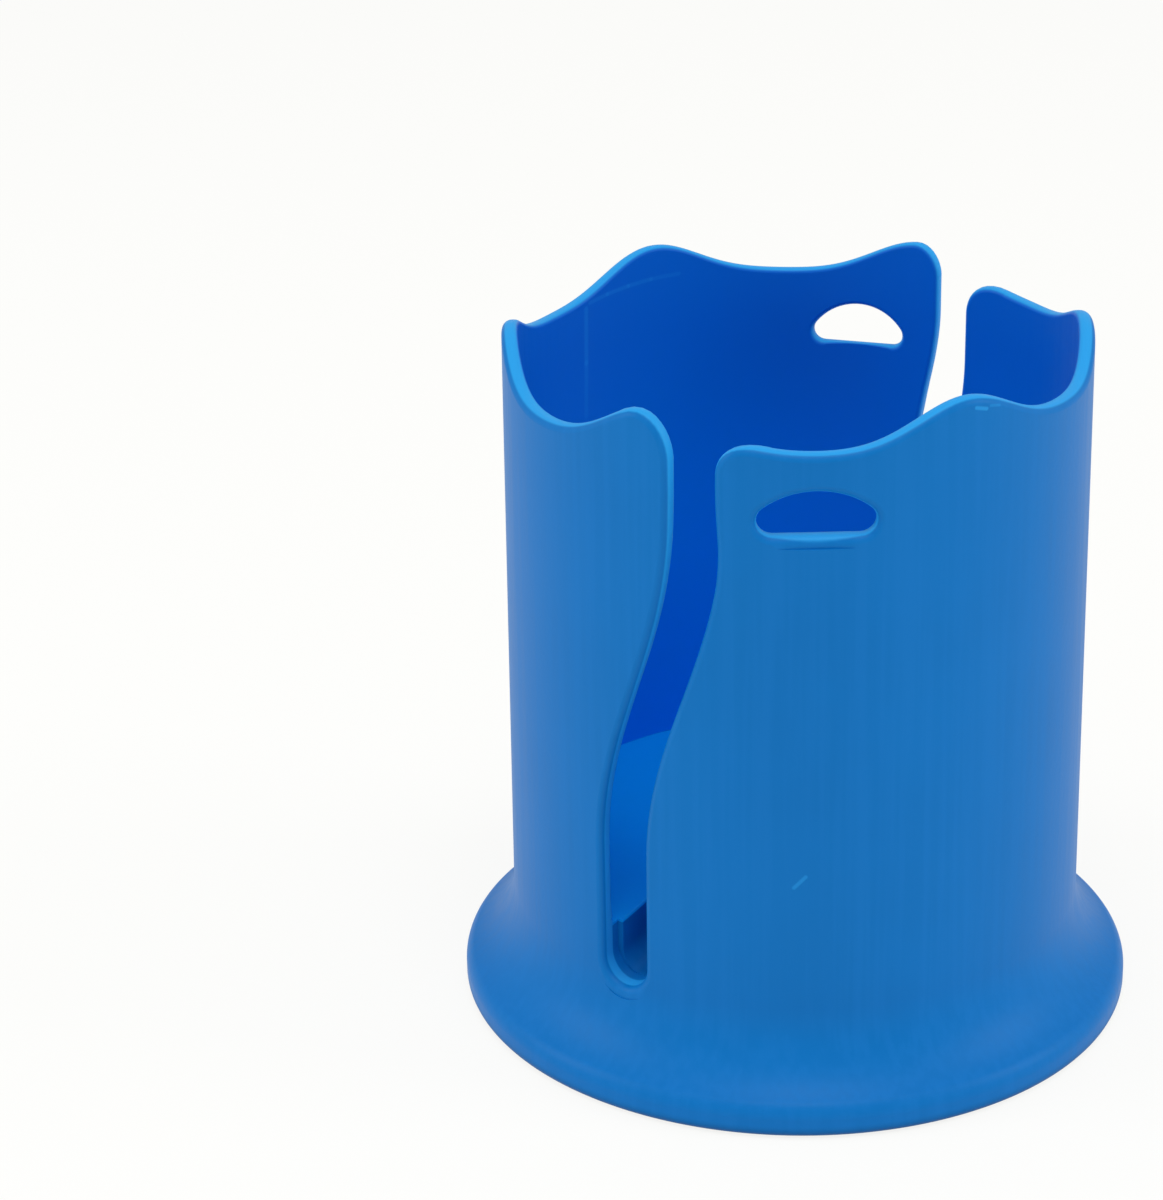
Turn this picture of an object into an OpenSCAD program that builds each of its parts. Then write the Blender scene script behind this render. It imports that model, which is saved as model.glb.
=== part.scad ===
// Kayak cup holder: one moulded cup with a wavy rim, a flared foot, two S-shaped
// slots and two half-moon holes. The tube stands on z = 0 with its axis on +Z.
// Turns are degrees about +Z, 0 at the front (-Y) and growing towards +X.

/* [Tube] */
// Outer diameter of the tube half way up
tube_d = 90; // [85:0.5:96]
// Lean of the tube's outer side, which is wider at the foot, in degrees
draft = 0.4; // [0:0.05:0.6]
// Thickness of the tube's wall half way up
wall = 2.8; // [2.6:0.1:3.6]
// Mean height of the rim
rim_h = 107.7; // [88:0.5:125]
// Height of the cup's floor
floor_h = 24.5; // [22:0.5:28]
// Radius of the rounding on the wall's outer edges
outer_edge_r = 1.3; // [0.6:0.1:1.4]
// Radius of the rounding on the wall's inner edges
inner_edge_r = 0.8; // [0.5:0.1:0.9]

/* [Rim wave] */
// Half the height of the six waves
wave_h = 2.9; // [1:0.1:4]
// Extra height that narrows the crests
crest_h = 0.5; // [0:0.1:0.8]
// Turn of the first crest
crest_turn = 33; // [30:0.5:36]
// How far the right side of the rim stands above its mean
rim_tilt = 0.4; // [0:0.1:1.5]
// Height of the slight unevenness that makes each wave a little different
uneven_h = 0.35; // [0:0.05:0.5]

/* [Foot] */
// Outer diameter of the foot
foot_d = 107; // [104:0.2:112]
// Radius of the hollow curve from tube to foot
flare_r = 14; // [12:0.5:18]
// Height of the foot's upright side
side_h = 3.0; // [3:0.1:4]
// Radius of the foot's upper edge
lip_r = 3.0; // [2:0.1:3]
// Radius of the foot's lower edge
heel_r = 1.3; // [0.4:0.1:1.8]

/* [Slots] */
// Turn of the upright plane that both slots are centred on
slot_turn = -26.7; // [-30:0.1:-24]
// Width of the front slot
slot_w = 7.8; // [7:0.1:8.5]
// Width of the back slot
back_slot_w = 6.8; // [6:0.1:7]
// How far the front slot lies off the plane towards the wide panel
slot_shift = 0.3; // [0:0.05:0.4]
// How much the wide panel narrows the mouth of the back slot
back_pinch = 1.6; // [0:0.1:1.8]
// How much the slim panel narrows the mouth of the front slot
front_pinch = 0.75; // [0:0.05:1]
// How far a slot swings to each side of its plane
slot_swing = 6.0; // [5:0.1:7]
// How far a slot runs down below the cup's floor
slot_depth = 8.3; // [5:0.1:10]
// Height above the floor at which the lower bend begins
bend_rise = 14.5; // [12:0.5:19]
// Distance below the mean rim at which the upper bend ends
bend_drop = 14.7; // [12:0.1:19]
// Radius of the wide panel's front corner
wide_front_r = 8; // [5:0.5:9]
// Radius of the wide panel's back corner
wide_back_r = 4.5; // [3:0.5:7]
// Radius of the slim panel's front corner
slim_front_r = 6.8; // [4:0.2:8]
// Radius of the slim panel's back corner
slim_back_r = 7.6; // [4:0.2:8]

/* [Half-moon holes] */
// Turn of the front hole
front_hole_turn = 3.9; // [0:0.1:8]
// Distance of the front hole's lower side below the mean rim
front_hole_drop = 14.3; // [13:0.1:18]
// Height of the front hole
front_hole_h = 6.7; // [5.5:0.1:7]
// Radius of the front hole's upper curve
front_hole_r = 12; // [10:0.5:13]
// Radius of the front hole's lower corners
front_corner_r = 2.2; // [1.4:0.1:2.4]
// Turn of the back hole
back_hole_turn = 166.3; // [163:0.1:170]
// Distance of the back hole's lower side below the mean rim
back_hole_drop = 14.7; // [13:0.1:18]
// Height of the back hole
back_hole_h = 6.6; // [5.5:0.1:7]
// Radius of the back hole's upper curve
back_hole_r = 8.8; // [8:0.1:10]
// Radius of the back hole's lower corners
back_corner_r = 1.9; // [1.2:0.1:2.2]

/* [Colour] */
// Colour of the plastic
plastic = "#1B6FB5";

/* [Hidden] */
$fn = 120;
tube_r = tube_d / 2;
bore_r = tube_r - wall;
mid_r = tube_r - wall / 2;
foot_r = foot_d / 2;
slot_low = floor_h - slot_depth;
bend_low = floor_h + bend_rise;
bend_top = rim_h - bend_drop;
middle_h = (floor_h + rim_h) / 2;

// the tube starts this much too high, and the cuts reach beyond it
blank_h = rim_h + 7;
cut_h = blank_h + 5;

// how far cuts start off the wall's faces, with a second layer well clear of its curve
skin = 0.25;
clear = 1.5;

// how far curves of the foot run into each other
overlap = 0.1;

// the channel in the floor: slimmer than the slot at each side, bevelled on top,
// and ending short of where the slot's rounded inner edge ends
side_play = 0.15;
bevel = 0.5;
channel_r = bore_r + inner_edge_r - 0.2;

// centre of the hollow curve, which crosses both neighbours at a slight angle
lip_x = foot_r - lip_r;
base_r = tube_r + lean(side_h + flare_r);
flare_x = base_r + flare_r - overlap;
reach = flare_r + lip_r - overlap;
flare_z = side_h + sqrt(reach * reach - pow(flare_x - lip_x, 2));
meet_x = lip_x + (lip_r - overlap / 2) * (flare_x - lip_x) / reach;
meet_z = side_h + (lip_r - overlap / 2) * (flare_z - side_h) / reach;

// [depth, spread] of a rounded edge: how much wider a cut is at each depth under the face
edge_arc = [for (a = [0, 30, 60]) [1 - sin(a), 1 - cos(a)]];
spread_out = 1.75;

// [radius, spread] across the wall, from inside to outside
layers = concat(
    [for (depth = [-clear, -skin]) [bore_r + depth, spread_out * inner_edge_r]],
    [for (i = [2, 1, 0]) [bore_r + edge_arc[i][0] * inner_edge_r, edge_arc[i][1] * inner_edge_r]],
    [for (i = [0, 1, 2]) [tube_r - edge_arc[i][0] * outer_edge_r, edge_arc[i][1] * outer_edge_r]],
    [for (depth = [-skin, -clear]) [tube_r - depth, spread_out * outer_edge_r]]
);

// Places on the tube

// how much the outer radius grows at a height
function lean(z) = (middle_h - z) * tan(draft);

// a point at radius r, this far across from the upright plane at a turn
function spot(turn, across, z, r) =
    let (out = r > mid_r ? r + lean(z) : r, a = turn + asin(across / out))
    [out * sin(a), -out * cos(a), z];

// two triangles for the four corners of a patch
function patch(a, b, c, d) = [[a, b, c], [a, c, d]];

// patches between ring i and the next one, for rings of m points
function ring_wall(i, next, m) = [
    for (j = [0 : m - 1])
    let (k = (j + 1) % m)
    each patch(i * m + j, i * m + k, next * m + k, next * m + j)
];

// a flat end over one ring whose points pair up from its two ends
function ring_end(i, m, front) = [
    for (j = [0 : m / 2 - 2])
    let (a = i * m + j, b = i * m + j + 1, c = i * m + m - 2 - j, d = i * m + m - 1 - j)
    each (front ? patch(d, c, b, a) : patch(a, b, c, d))
];

// Slots

// how far the slot's middle line is from its plane at height z
function slot_mid(z) =
    let (part = min(max((z - bend_low) / (bend_top - bend_low), 0), 1))
    -slot_swing * cos(180 * part);

// how far a slot's mouth is narrowed at height z, from nothing to one
mouth_from = bend_top - 9;
mouth_to = bend_top + 7;
function narrowing(z) =
    let (part = min(max((z - mouth_from) / (mouth_to - mouth_from), 0), 1))
    (1 - cos(180 * part)) / 2;

// [dip, height] of each row: the round end first, then the sides upwards
slot_steps = 26;
function slot_rows(base) = concat(
    [for (dip = [84, 66, 48, 32, 16]) [dip, base]],
    [for (i = [0 : slot_steps]) [0, base + i * (cut_h + 1 - base) / slot_steps]]
);

// the inner edges are rounded only above the floor, fading in from 1 mm to 4 mm above it
fade_from = floor_h + 1;
fade_to = floor_h + 4;
function open_part(z) = min(max((z - fade_from) / (fade_to - fade_from), 0), 1);

function slot_point(row, layer, side, width, shift, pinch) =
    let (
        inside = layer[0] < mid_r,
        spread = layer[1] * (inside ? open_part(row[1]) : 1),
        half = width / 2 + spread
    )
    spot(
        slot_turn,
        slot_mid(row[1]) + shift + side * (half * cos(row[0]) - pinch * narrowing(row[1])),
        row[1] - half * sin(row[0]),
        layer[0]
    );

module slot_cut(width, shift, wide_pinch, slim_pinch) {
    m = 2 * len(layers);
    list = slot_rows(slot_low + width / 2);
    rows = len(list);
    points = [
        for (row = list)
        each concat(
            [for (layer = layers) slot_point(row, layer, -1, width, shift, wide_pinch)],
            [for (i = [len(layers) - 1 : -1 : 0]) slot_point(row, layers[i], 1, width, shift, slim_pinch)]
        )
    ];
    faces = concat(
        [for (i = [0 : rows - 2]) each ring_wall(i + 1, i, m)],
        ring_end(0, m, false),
        ring_end(rows - 1, m, true)
    );
    polyhedron(points, faces);
}

// the slot's foot runs on across the floor as a straight channel
module floor_channel() {
    half = back_slot_w / 2 - side_play;
    base = slot_low + back_slot_w / 2;
    rotate([0, 0, slot_turn])
    intersection() {
        rotate([90, 0, 0])
        linear_extrude(height = 2 * tube_r, center = true)
        translate([-slot_swing, 0]) {
            translate([0, base])
            circle(r = half);
            translate([-half, base])
            square([2 * half, floor_h - base + bevel]);
            polygon([
                [-half, floor_h - bevel],
                [half, floor_h - bevel],
                [half + 3 * bevel, floor_h + 2 * bevel],
                [-half - 3 * bevel, floor_h + 2 * bevel]
            ]);
        }
        cylinder(h = blank_h, r = channel_r);
    }
}

// Rim

function rim_top(turn) =
    rim_h + wave_h * cos(6 * (turn - crest_turn)) + crest_h * cos(12 * (turn - crest_turn))
    + rim_tilt * sin(turn)
    + uneven_h * (cos(2 * (turn - 20)) + cos(3 * (turn - 6)) + cos(5 * (turn + 20)));

// [plane, across, z, in, down] of a rim point: in and down point into the wall
function corner_point(plane, edge, side, r, a) =
    let (across = edge + side * r * (1 - cos(a)), turn = plane + asin(across / mid_r))
    [plane, across, rim_top(turn) - r * (1 - sin(a)), side * cos(a), -sin(a)];

// a corner starts inside the slot, off its side and below the first point of the arc
foot_off = 0.4;
foot_drop = 1.2;
arc_start = 8;
function corner_foot(plane, edge, side, r) =
    let (top = corner_point(plane, edge, side, r, arc_start))
    [plane, edge - side * foot_off, top[2] - foot_drop, side, 0];

function corner(plane, edge, side, r) = concat(
    [corner_foot(plane, edge, side, r)],
    [for (a = [arc_start, 22, 38, 54, 72, 90]) corner_point(plane, edge, side, r, a)]
);

function backwards(list) = [for (i = [len(list) - 1 : -1 : 0]) list[i]];

function plain(from, to, count) = [
    for (i = [1 : count - 1])
    let (turn = from + (to - from) * i / count)
    [turn, 0, rim_top(turn), 0, -1]
];

// the middle of a slot's mouth, below both of its corners
mouth_drop = wide_front_r + 3;
function mouth(plane, across) =
    let (turn = plane + asin(across / mid_r))
    [plane, across, rim_top(turn) - mouth_drop, 0, 0];

// the four panel edges at the rim, measured across from the plane of the slots
wide_front = slot_swing - slot_w / 2 - slot_shift + front_pinch / 2;
slim_front = slot_swing + slot_w / 2 - slot_shift - front_pinch;
wide_back = slot_swing - back_slot_w / 2 + back_pinch;
slim_back = slot_swing + back_slot_w / 2;
back_turn = slot_turn + 180;
end_turn = slot_turn + 360;

rim_path = concat(
    corner(slot_turn, slim_front, 1, slim_front_r),
    plain(
        slot_turn + asin((slim_front + slim_front_r) / mid_r),
        back_turn - asin((slim_back + slim_back_r) / mid_r),
        48
    ),
    backwards(corner(back_turn, -slim_back, -1, slim_back_r)),
    [mouth(back_turn, -slot_swing)],
    corner(back_turn, -wide_back, 1, wide_back_r),
    plain(
        back_turn + asin((wide_back_r - wide_back) / mid_r),
        end_turn - asin((wide_front_r - wide_front) / mid_r),
        64
    ),
    backwards(corner(end_turn, wide_front, -1, wide_front_r)),
    [mouth(end_turn, slot_swing)]
);

function rim_point(p, layer) =
    spot(p[0], p[1] + p[3] * layer[1], p[2] + p[4] * layer[1], layer[0]);

// everything above the rounded rim
module rim_cut() {
    m = len(layers) + 2;
    count = len(rim_path);
    points = [
        for (p = rim_path)
        each concat(
            [for (layer = layers) rim_point(p, layer)],
            [spot(p[0], p[1], cut_h, tube_r + clear), spot(p[0], p[1], cut_h, bore_r - clear)]
        )
    ];
    faces = [for (i = [0 : count - 1]) each ring_wall(i, (i + 1) % count, m)];
    polyhedron(points, faces);
}

// Half-moon holes

// a half moon's outline, grown by a spread: right corner, upper curve, left corner
function hole_outline(low, height, top_r, corner_r, spread) =
    let (
        mid = low + height - top_r,
        up = low + corner_r - mid,
        out = sqrt(pow(top_r - corner_r, 2) - up * up),
        meet = atan2(up, out)
    )
    concat(
        [for (i = [0 : 4])
            let (a = -90 + (90 + meet) * i / 5, r = corner_r + spread)
            [out + r * cos(a), mid + up + r * sin(a)]],
        [for (i = [0 : 13])
            let (a = meet + (180 - 2 * meet) * i / 13, r = top_r + spread)
            [r * cos(a), mid + r * sin(a)]],
        [for (i = [4 : -1 : 0])
            let (a = 270 - (90 + meet) * i / 5, r = corner_r + spread)
            [-out + r * cos(a), mid + up + r * sin(a)]]
    );

module hole_cut(turn, low, height, top_r, corner_r) {
    rings = [for (layer = layers) hole_outline(low, height, top_r, corner_r, layer[1])];
    count = len(layers);
    m = len(rings[0]);
    points = [
        for (i = [0 : count - 1])
        each [for (p = rings[i]) spot(turn, p[0], p[1], layers[i][0])]
    ];
    faces = concat(
        [for (i = [0 : count - 2]) each ring_wall(i + 1, i, m)],
        ring_end(0, m, false),
        ring_end(count - 1, m, true)
    );
    polyhedron(points, faces);
}

// Body

module foot_half() {
    difference() {
        union() {
            square([foot_r - heel_r, side_h]);
            translate([0, heel_r])
            square([foot_r, side_h - heel_r]);
            translate([foot_r - heel_r, heel_r])
            circle(r = heel_r);
            translate([lip_x, side_h])
            circle(r = lip_r);
            polygon([
                [0, heel_r],
                [lip_x, heel_r],
                [meet_x, meet_z],
                [base_r, flare_z],
                [0, flare_z]
            ]);
        }
        translate([flare_x, flare_z])
        circle(r = flare_r);
    }
}

module blank() {
    rotate_extrude()
    union() {
        foot_half();
        difference() {
            polygon([
                [0, heel_r],
                [base_r, heel_r],
                [base_r, flare_z],
                [tube_r + lean(blank_h), blank_h],
                [0, blank_h]
            ]);
            translate([0, floor_h])
            square([bore_r, blank_h]);
        }
    }
}

module cup_holder() {
    color(plastic)
    difference() {
        blank();
        rim_cut();
        slot_cut(slot_w, -slot_shift, front_pinch / 2, front_pinch);
        mirror([sin(slot_turn), -cos(slot_turn), 0])
        slot_cut(back_slot_w, 0, back_pinch, 0);
        floor_channel();
        hole_cut(front_hole_turn, rim_h - front_hole_drop, front_hole_h, front_hole_r, front_corner_r);
        hole_cut(back_hole_turn, rim_h - back_hole_drop, back_hole_h, back_hole_r, back_corner_r);
    }
}

cup_holder();
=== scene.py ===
# Blue plastic cup holder for a kayak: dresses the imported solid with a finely
# rounded body, a satin moulded plastic, a pale stage, soft lamps and a camera.
# Sizes are in metres in the panel and in millimetres inside the shape functions.
import math

import bpy
import numpy as np
from bpy.props import FloatProperty, FloatVectorProperty, PointerProperty
from bpy.types import Operator, Panel, PropertyGroup
from mathutils import Matrix, Vector


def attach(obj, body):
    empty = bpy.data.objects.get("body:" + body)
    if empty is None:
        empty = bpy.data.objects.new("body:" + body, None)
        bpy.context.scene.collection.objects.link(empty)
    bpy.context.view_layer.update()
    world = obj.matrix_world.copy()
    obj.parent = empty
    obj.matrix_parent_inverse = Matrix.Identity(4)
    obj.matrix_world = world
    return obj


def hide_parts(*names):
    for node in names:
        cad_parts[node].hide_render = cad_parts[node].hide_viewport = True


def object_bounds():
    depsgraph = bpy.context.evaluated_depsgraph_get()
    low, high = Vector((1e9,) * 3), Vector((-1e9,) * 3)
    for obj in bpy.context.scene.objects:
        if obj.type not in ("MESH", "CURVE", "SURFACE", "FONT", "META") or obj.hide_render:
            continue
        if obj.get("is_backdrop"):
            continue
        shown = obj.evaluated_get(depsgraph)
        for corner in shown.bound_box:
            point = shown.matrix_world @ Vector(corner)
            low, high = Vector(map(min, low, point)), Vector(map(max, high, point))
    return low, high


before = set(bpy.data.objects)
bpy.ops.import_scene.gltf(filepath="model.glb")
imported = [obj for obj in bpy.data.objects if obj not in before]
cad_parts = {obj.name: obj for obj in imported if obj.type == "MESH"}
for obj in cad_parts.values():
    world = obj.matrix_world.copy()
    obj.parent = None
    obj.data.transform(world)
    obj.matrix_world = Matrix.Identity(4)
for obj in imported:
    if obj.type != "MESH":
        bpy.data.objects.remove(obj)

bl_info = {
    "name": "Kayak cup holder",
    "version": (1, 0, 0),
    "blender": (4, 5, 0),
    "location": "3D View > Sidebar > Cup holder",
    "description": "Dresses the kayak cup holder and sets its stage, lamps and camera",
    "category": "Object",
}

NODE = "cup_holder"
MM = 0.001

# The camera: picture height and focal length in the photograph's pixels, sensor height in
# millimetres, place in metres and turns in degrees
PHOTO_HEIGHT = 1200
FOCAL_PIXELS = 3288
SENSOR_HEIGHT = 36
CAMERA_PLACE = (0, -0.4739, 0.2689)
CAMERA_YAW, CAMERA_PITCH, CAMERA_ROLL = -4.047, 23.283, 1.257

# Lamps: name, place, width, height and the panel setting that holds the power; they all face LAMP_AIM
LAMP_AIM = (0, 0, 0.05)
LAMPS = (
    ("key_lamp", (0.05, -0.35, 1.1), 0.45, 0.45, "key"),
    ("left_lamp", (-1.0, -0.15, 0.6), 0.4, 0.6, "left"),
    ("right_lamp", (1.0, -0.1, 0.6), 0.4, 0.6, "right"),
)

# Half the width of the floor, and how far it lies under the foot, in metres
STAGE_HALF = 4.0
STAGE_DROP = 0.0002


# Settings

def length(name, description, default):
    """A size in metres for the panel, given in millimetres."""
    return FloatProperty(name=name, description=description, default=default / 1000,
                         min=0, precision=4, subtype="DISTANCE", unit="LENGTH")


def turn(name, description, default):
    """An angle for the panel, given in degrees."""
    return FloatProperty(name=name, description=description, default=math.radians(default),
                         subtype="ANGLE", unit="ROTATION")


def amount(name, description, default, top=1.0):
    """A plain number for the panel."""
    return FloatProperty(name=name, description=description, default=default, min=0, max=top,
                         subtype="FACTOR" if top == 1.0 else "NONE")


def colour(name, description, red, green, blue):
    """A colour for the panel, given as screen values from 0 to 255."""
    return FloatVectorProperty(name=name, description=description, subtype="COLOR", size=3,
                               min=0, max=1, default=(linear(red), linear(green), linear(blue)))


def linear(value):
    """The light of a screen value from 0 to 255."""
    v = value / 255
    return v / 12.92 if v <= 0.04045 else ((v + 0.055) / 1.055) ** 2.4


class CupSizes(PropertyGroup):
    """Sizes of the cup holder's one moulded body"""

    tube_d: length("Tube diameter", "Outer diameter of the tube half way up", 90)
    draft_turn: turn("Draft", "Lean of the tube's outer side, which is wider at the foot", 0.4)
    wall: length("Wall", "Thickness of the tube's wall half way up", 2.8)
    rim_h: length("Rim height", "Mean height of the rim", 107.7)
    floor_h: length("Floor height", "Height of the cup's floor", 24.5)
    outer_edge_r: length("Outer rounding", "Radius of the rounding on the wall's outer edges", 1.3)
    inner_edge_r: length("Inner rounding", "Radius of the rounding on the wall's inner edges", 0.8)
    wave_h: length("Wave height", "Half the height of the rim's six waves", 2.9)
    crest_h: length("Crest height", "Extra height that narrows the crests", 0.5)
    crest_turn: turn("Crest turn", "Turn of the first crest", 33)
    rim_tilt: length("Rim tilt", "How far the rim's right side stands above its mean", 0.4)
    uneven_h: length("Unevenness", "Height that makes each wave a little different", 0.35)
    foot_d: length("Foot diameter", "Outer diameter of the foot", 107)
    flare_r: length("Flare radius", "Radius of the hollow curve from tube to foot", 14)
    side_h: length("Foot side", "Height of the foot's upright side", 3.0)
    lip_r: length("Foot upper edge", "Radius of the foot's upper edge", 3.0)
    heel_r: length("Foot lower edge", "Radius of the foot's lower edge", 1.3)
    slot_turn: turn("Slot turn", "Turn of the plane that both slots are centred on", -26.7)
    slot_w: length("Front slot width", "Width of the front slot", 7.8)
    back_slot_w: length("Back slot width", "Width of the back slot", 6.8)
    slot_shift: length("Slot shift", "How far the front slot lies off the plane", 0.3)
    back_pinch: length("Back pinch", "How much the wide panel narrows the back slot's mouth", 1.6)
    front_pinch: length("Front pinch", "How much the slim panel narrows the front slot's mouth", 0.75)
    slot_swing: length("Slot swing", "How far a slot swings to each side of its plane", 6.0)
    slot_depth: length("Slot depth", "How far a slot runs down below the floor", 8.3)
    bend_rise: length("Bend start", "Height above the floor where the lower bend begins", 14.5)
    bend_drop: length("Bend end", "Distance below the rim where the upper bend ends", 14.7)
    wide_front_r: length("Wide front corner", "Radius of the wide panel's front corner", 8)
    wide_back_r: length("Wide back corner", "Radius of the wide panel's back corner", 4.5)
    slim_front_r: length("Slim front corner", "Radius of the slim panel's front corner", 6.8)
    slim_back_r: length("Slim back corner", "Radius of the slim panel's back corner", 7.6)
    front_hole_turn: turn("Front hole turn", "Turn of the front half-moon hole", 3.9)
    front_hole_drop: length("Front hole drop", "Distance of the front hole's flat side below the rim", 14.3)
    front_hole_h: length("Front hole height", "Height of the front hole", 6.7)
    front_hole_r: length("Front hole radius", "Radius of the front hole's upper curve", 12)
    front_corner_r: length("Front hole corner", "Radius of the front hole's lower corners", 2.2)
    back_hole_turn: turn("Back hole turn", "Turn of the back half-moon hole", 166.3)
    back_hole_drop: length("Back hole drop", "Distance of the back hole's flat side below the rim", 14.7)
    back_hole_h: length("Back hole height", "Height of the back hole", 6.6)
    back_hole_r: length("Back hole radius", "Radius of the back hole's upper curve", 8.8)
    back_corner_r: length("Back hole corner", "Radius of the back hole's lower corners", 1.9)


class CupFinish(PropertyGroup):
    """Colours and surface of the plastic, with painted light inside the cup, a painted highlight on its cut
    edges and painted shade at its heel
    """

    body: colour("Plastic", "Colour of the plastic", 0, 113, 190)
    # Painted light: the upper inside, lower inside and cup floor colours are lighter and bluer than the
    # plastic, standing in for light that comes through the wall and bounces inside the cup
    upper_inside_light: colour("Upper inside", "Colour of the inner wall near the rim", 0, 101, 206)
    glow: colour("Lower inside", "Colour of the inner wall low down", 0, 138, 240)
    cup_floor_light: colour("Cup floor", "Colour of the cup's floor", 0, 150, 232)
    # Painted highlight: this colour lightens the rim and the sides of the cuts as if lit; the small scratches
    # use it too
    pale: colour("Edge highlight and scratches", "Colour of thin and rubbed edges", 40, 160, 232)
    rough: amount("Roughness", "Roughness of the satin skin", 0.42)
    mottle: amount("Mottle", "Strength of the faint cloudiness", 0.5)
    streaks: amount("Streaks", "Strength of the faint upright draw marks", 0.5)
    # Strength of the painted highlight on the cut edges
    edge: amount("Painted edge highlight", "How much paler the cut edges of the wall are", 0.9)
    gloss: amount("Gloss", "Strength of the reflection", 0.13)
    # Painted shade: the foot's lowest edge is darkened as if in shadow
    heel: amount("Painted heel shade", "How much darker the foot's lowest edge is", 0.7)


class CupStage(PropertyGroup):
    """Floor, lamps and camera"""

    floor: colour("Floor", "Colour of the pale floor and backdrop", 254, 254, 252)
    floor_glow: amount("Floor whiteness", "Part of the floor's look that takes no shadow", 0.86)
    sky: amount("Sky light", "Strength of the even light from all round", 0.6, 4.0)
    key: amount("Key lamp", "Power of the large lamp above, in watts", 3.4, 50.0)
    left: amount("Left lamp", "Power of the lamp on the left, in watts", 3.0, 50.0)
    right: amount("Right lamp", "Power of the lamp on the right, in watts", 3.0, 50.0)


# Spare height in millimetres of the uncut body above the rim, and of the cutters above that
BLANK_SPARE = 7
CUT_SPARE = 5


class Sizes:
    """The panel's sizes in millimetres and degrees, with the ones worked out from them."""

    def __init__(self, props):
        for name in CupSizes.__annotations__:
            value = getattr(props, name)
            setattr(self, name, math.degrees(value) if name.endswith("_turn") else value * 1000)
        self.tube_r = self.tube_d / 2
        self.bore_r = self.tube_r - self.wall
        self.mid_r = self.tube_r - self.wall / 2
        self.foot_r = self.foot_d / 2
        self.blank_h = self.rim_h + BLANK_SPARE
        self.cut_h = self.blank_h + CUT_SPARE
        self.slot_low = self.floor_h - self.slot_depth
        self.bend_low = self.floor_h + self.bend_rise
        self.bend_top = self.rim_h - self.bend_drop
        self.middle_h = (self.floor_h + self.rim_h) / 2
        self.base_r = self.tube_r + self.lean(self.side_h + self.flare_r)
        self.lip_x = self.foot_r - self.lip_r
        self.flare_x = self.base_r + self.flare_r
        reach = self.flare_r + self.lip_r
        self.flare_z = self.side_h + math.sqrt(reach ** 2 - (self.flare_x - self.lip_x) ** 2)

    def lean(self, z):
        """How much the outer radius grows at a height."""
        return (self.middle_h - z) * math.tan(math.radians(self.draft_turn))


def cos(degrees):
    return math.cos(math.radians(degrees))


def sin(degrees):
    return math.sin(math.radians(degrees))


# Shape of the body

# How far the cutters' rounding runs past a face, and how far they clear it, in millimetres
SKIN = 0.1
CLEAR = 1.5
# Steps of the rounding on the wall's edges, in degrees
ARC = (0, 12, 24, 36, 47, 57, 66, 74, 80)
# Steps of a panel's corner beside a slot, in degrees
CORNER_ARC = (3, 9, 16, 24, 32, 40, 49, 58, 68, 79, 90)
# How far a corner's foot is set into the slot and below its first point
FOOT_IN = 0.25
FOOT_DROP = 0.8
# How far the rim's cut dips below a corner inside a slot's mouth
MOUTH_DIP = 3
# Distance below the upper bend's end where a mouth starts to narrow, and the height it takes
PINCH_START = 9
PINCH_RUN = 16
# Height above the floor where a slot's inner edges start to be rounded, and the height it takes
OPEN_START = 1
OPEN_RUN = 3
# Rows of the straight part of a slot, and steps of its round bottom in degrees
SLOT_ROWS = 96
BOTTOM_STEPS = range(88, 0, -8)
# The floor channel: play beside the slots, bevel on its upper edges and how far it stops inside the wall
SIDE_PLAY = 0.15
BEVEL = 0.5
BEVEL_ARC = (22.5, 45, 67.5, 85)
CHANNEL_STEPS = 25
CHANNEL_SPARE = 1
CHANNEL_STOP = 0.2
# The rim's unevenness: waves in a whole turn and the turn that each starts from
UNEVEN_WAVES = ((2, 20), (3, 6), (5, -20))
# Points round the body, along the rim of the slim and wide panels, and on a hole's curves
AROUND = 480
SLIM_RIM_STEPS = 110
WIDE_RIM_STEPS = 150
HOLE_CORNER_STEPS = 10
HOLE_TOP_STEPS = 40
# How far a point may lie off a face in millimetres and still take that face's exact normal
ON_CURVE = 0.02
ON_FLARE = 0.03
ON_TUBE = 0.015
ON_BORE = 0.012
ON_FLAT = 0.004
# Faces turned apart by more than this many degrees meet in a crease
CREASE = 38
# Distance from the foot's lower edge to the flat disc that closes the body below
UNDER_EDGE = 6
# Area in square millimetres past which a face weighs no more in a smoothed normal
LARGE_FACE = 0.5
# Fewest faces that a body with all its cuts can have
LEAST_FACES = 10000


def wall_layers(s):
    """[radius, spread] across the wall: how much wider a cut is at each radius."""
    def edge(e):
        last = ARC[-1]
        beyond = e * (1 - cos(last)) + (e * (1 - sin(last)) + SKIN) * sin(last) / cos(last)
        return [(e * (1 - sin(a)), e * (1 - cos(a))) for a in ARC] + [(-SKIN, beyond), (-CLEAR, beyond)]

    inner = [(s.bore_r + depth, spread) for depth, spread in reversed(edge(s.inner_edge_r))]
    return inner + [(s.tube_r - depth, spread) for depth, spread in edge(s.outer_edge_r)]


def spot(s, turn_deg, across, z, r):
    """A point at radius r, this far across from the upright plane at a turn."""
    out = r + s.lean(z) if r > s.mid_r else r
    a = math.radians(turn_deg) + math.asin(across / out)
    return (out * math.sin(a), -out * math.cos(a), z)


def turn_at(s, plane, across):
    """The turn of a point in the middle of the wall, this far across from the plane."""
    return plane + math.degrees(math.asin(across / s.mid_r))


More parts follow.
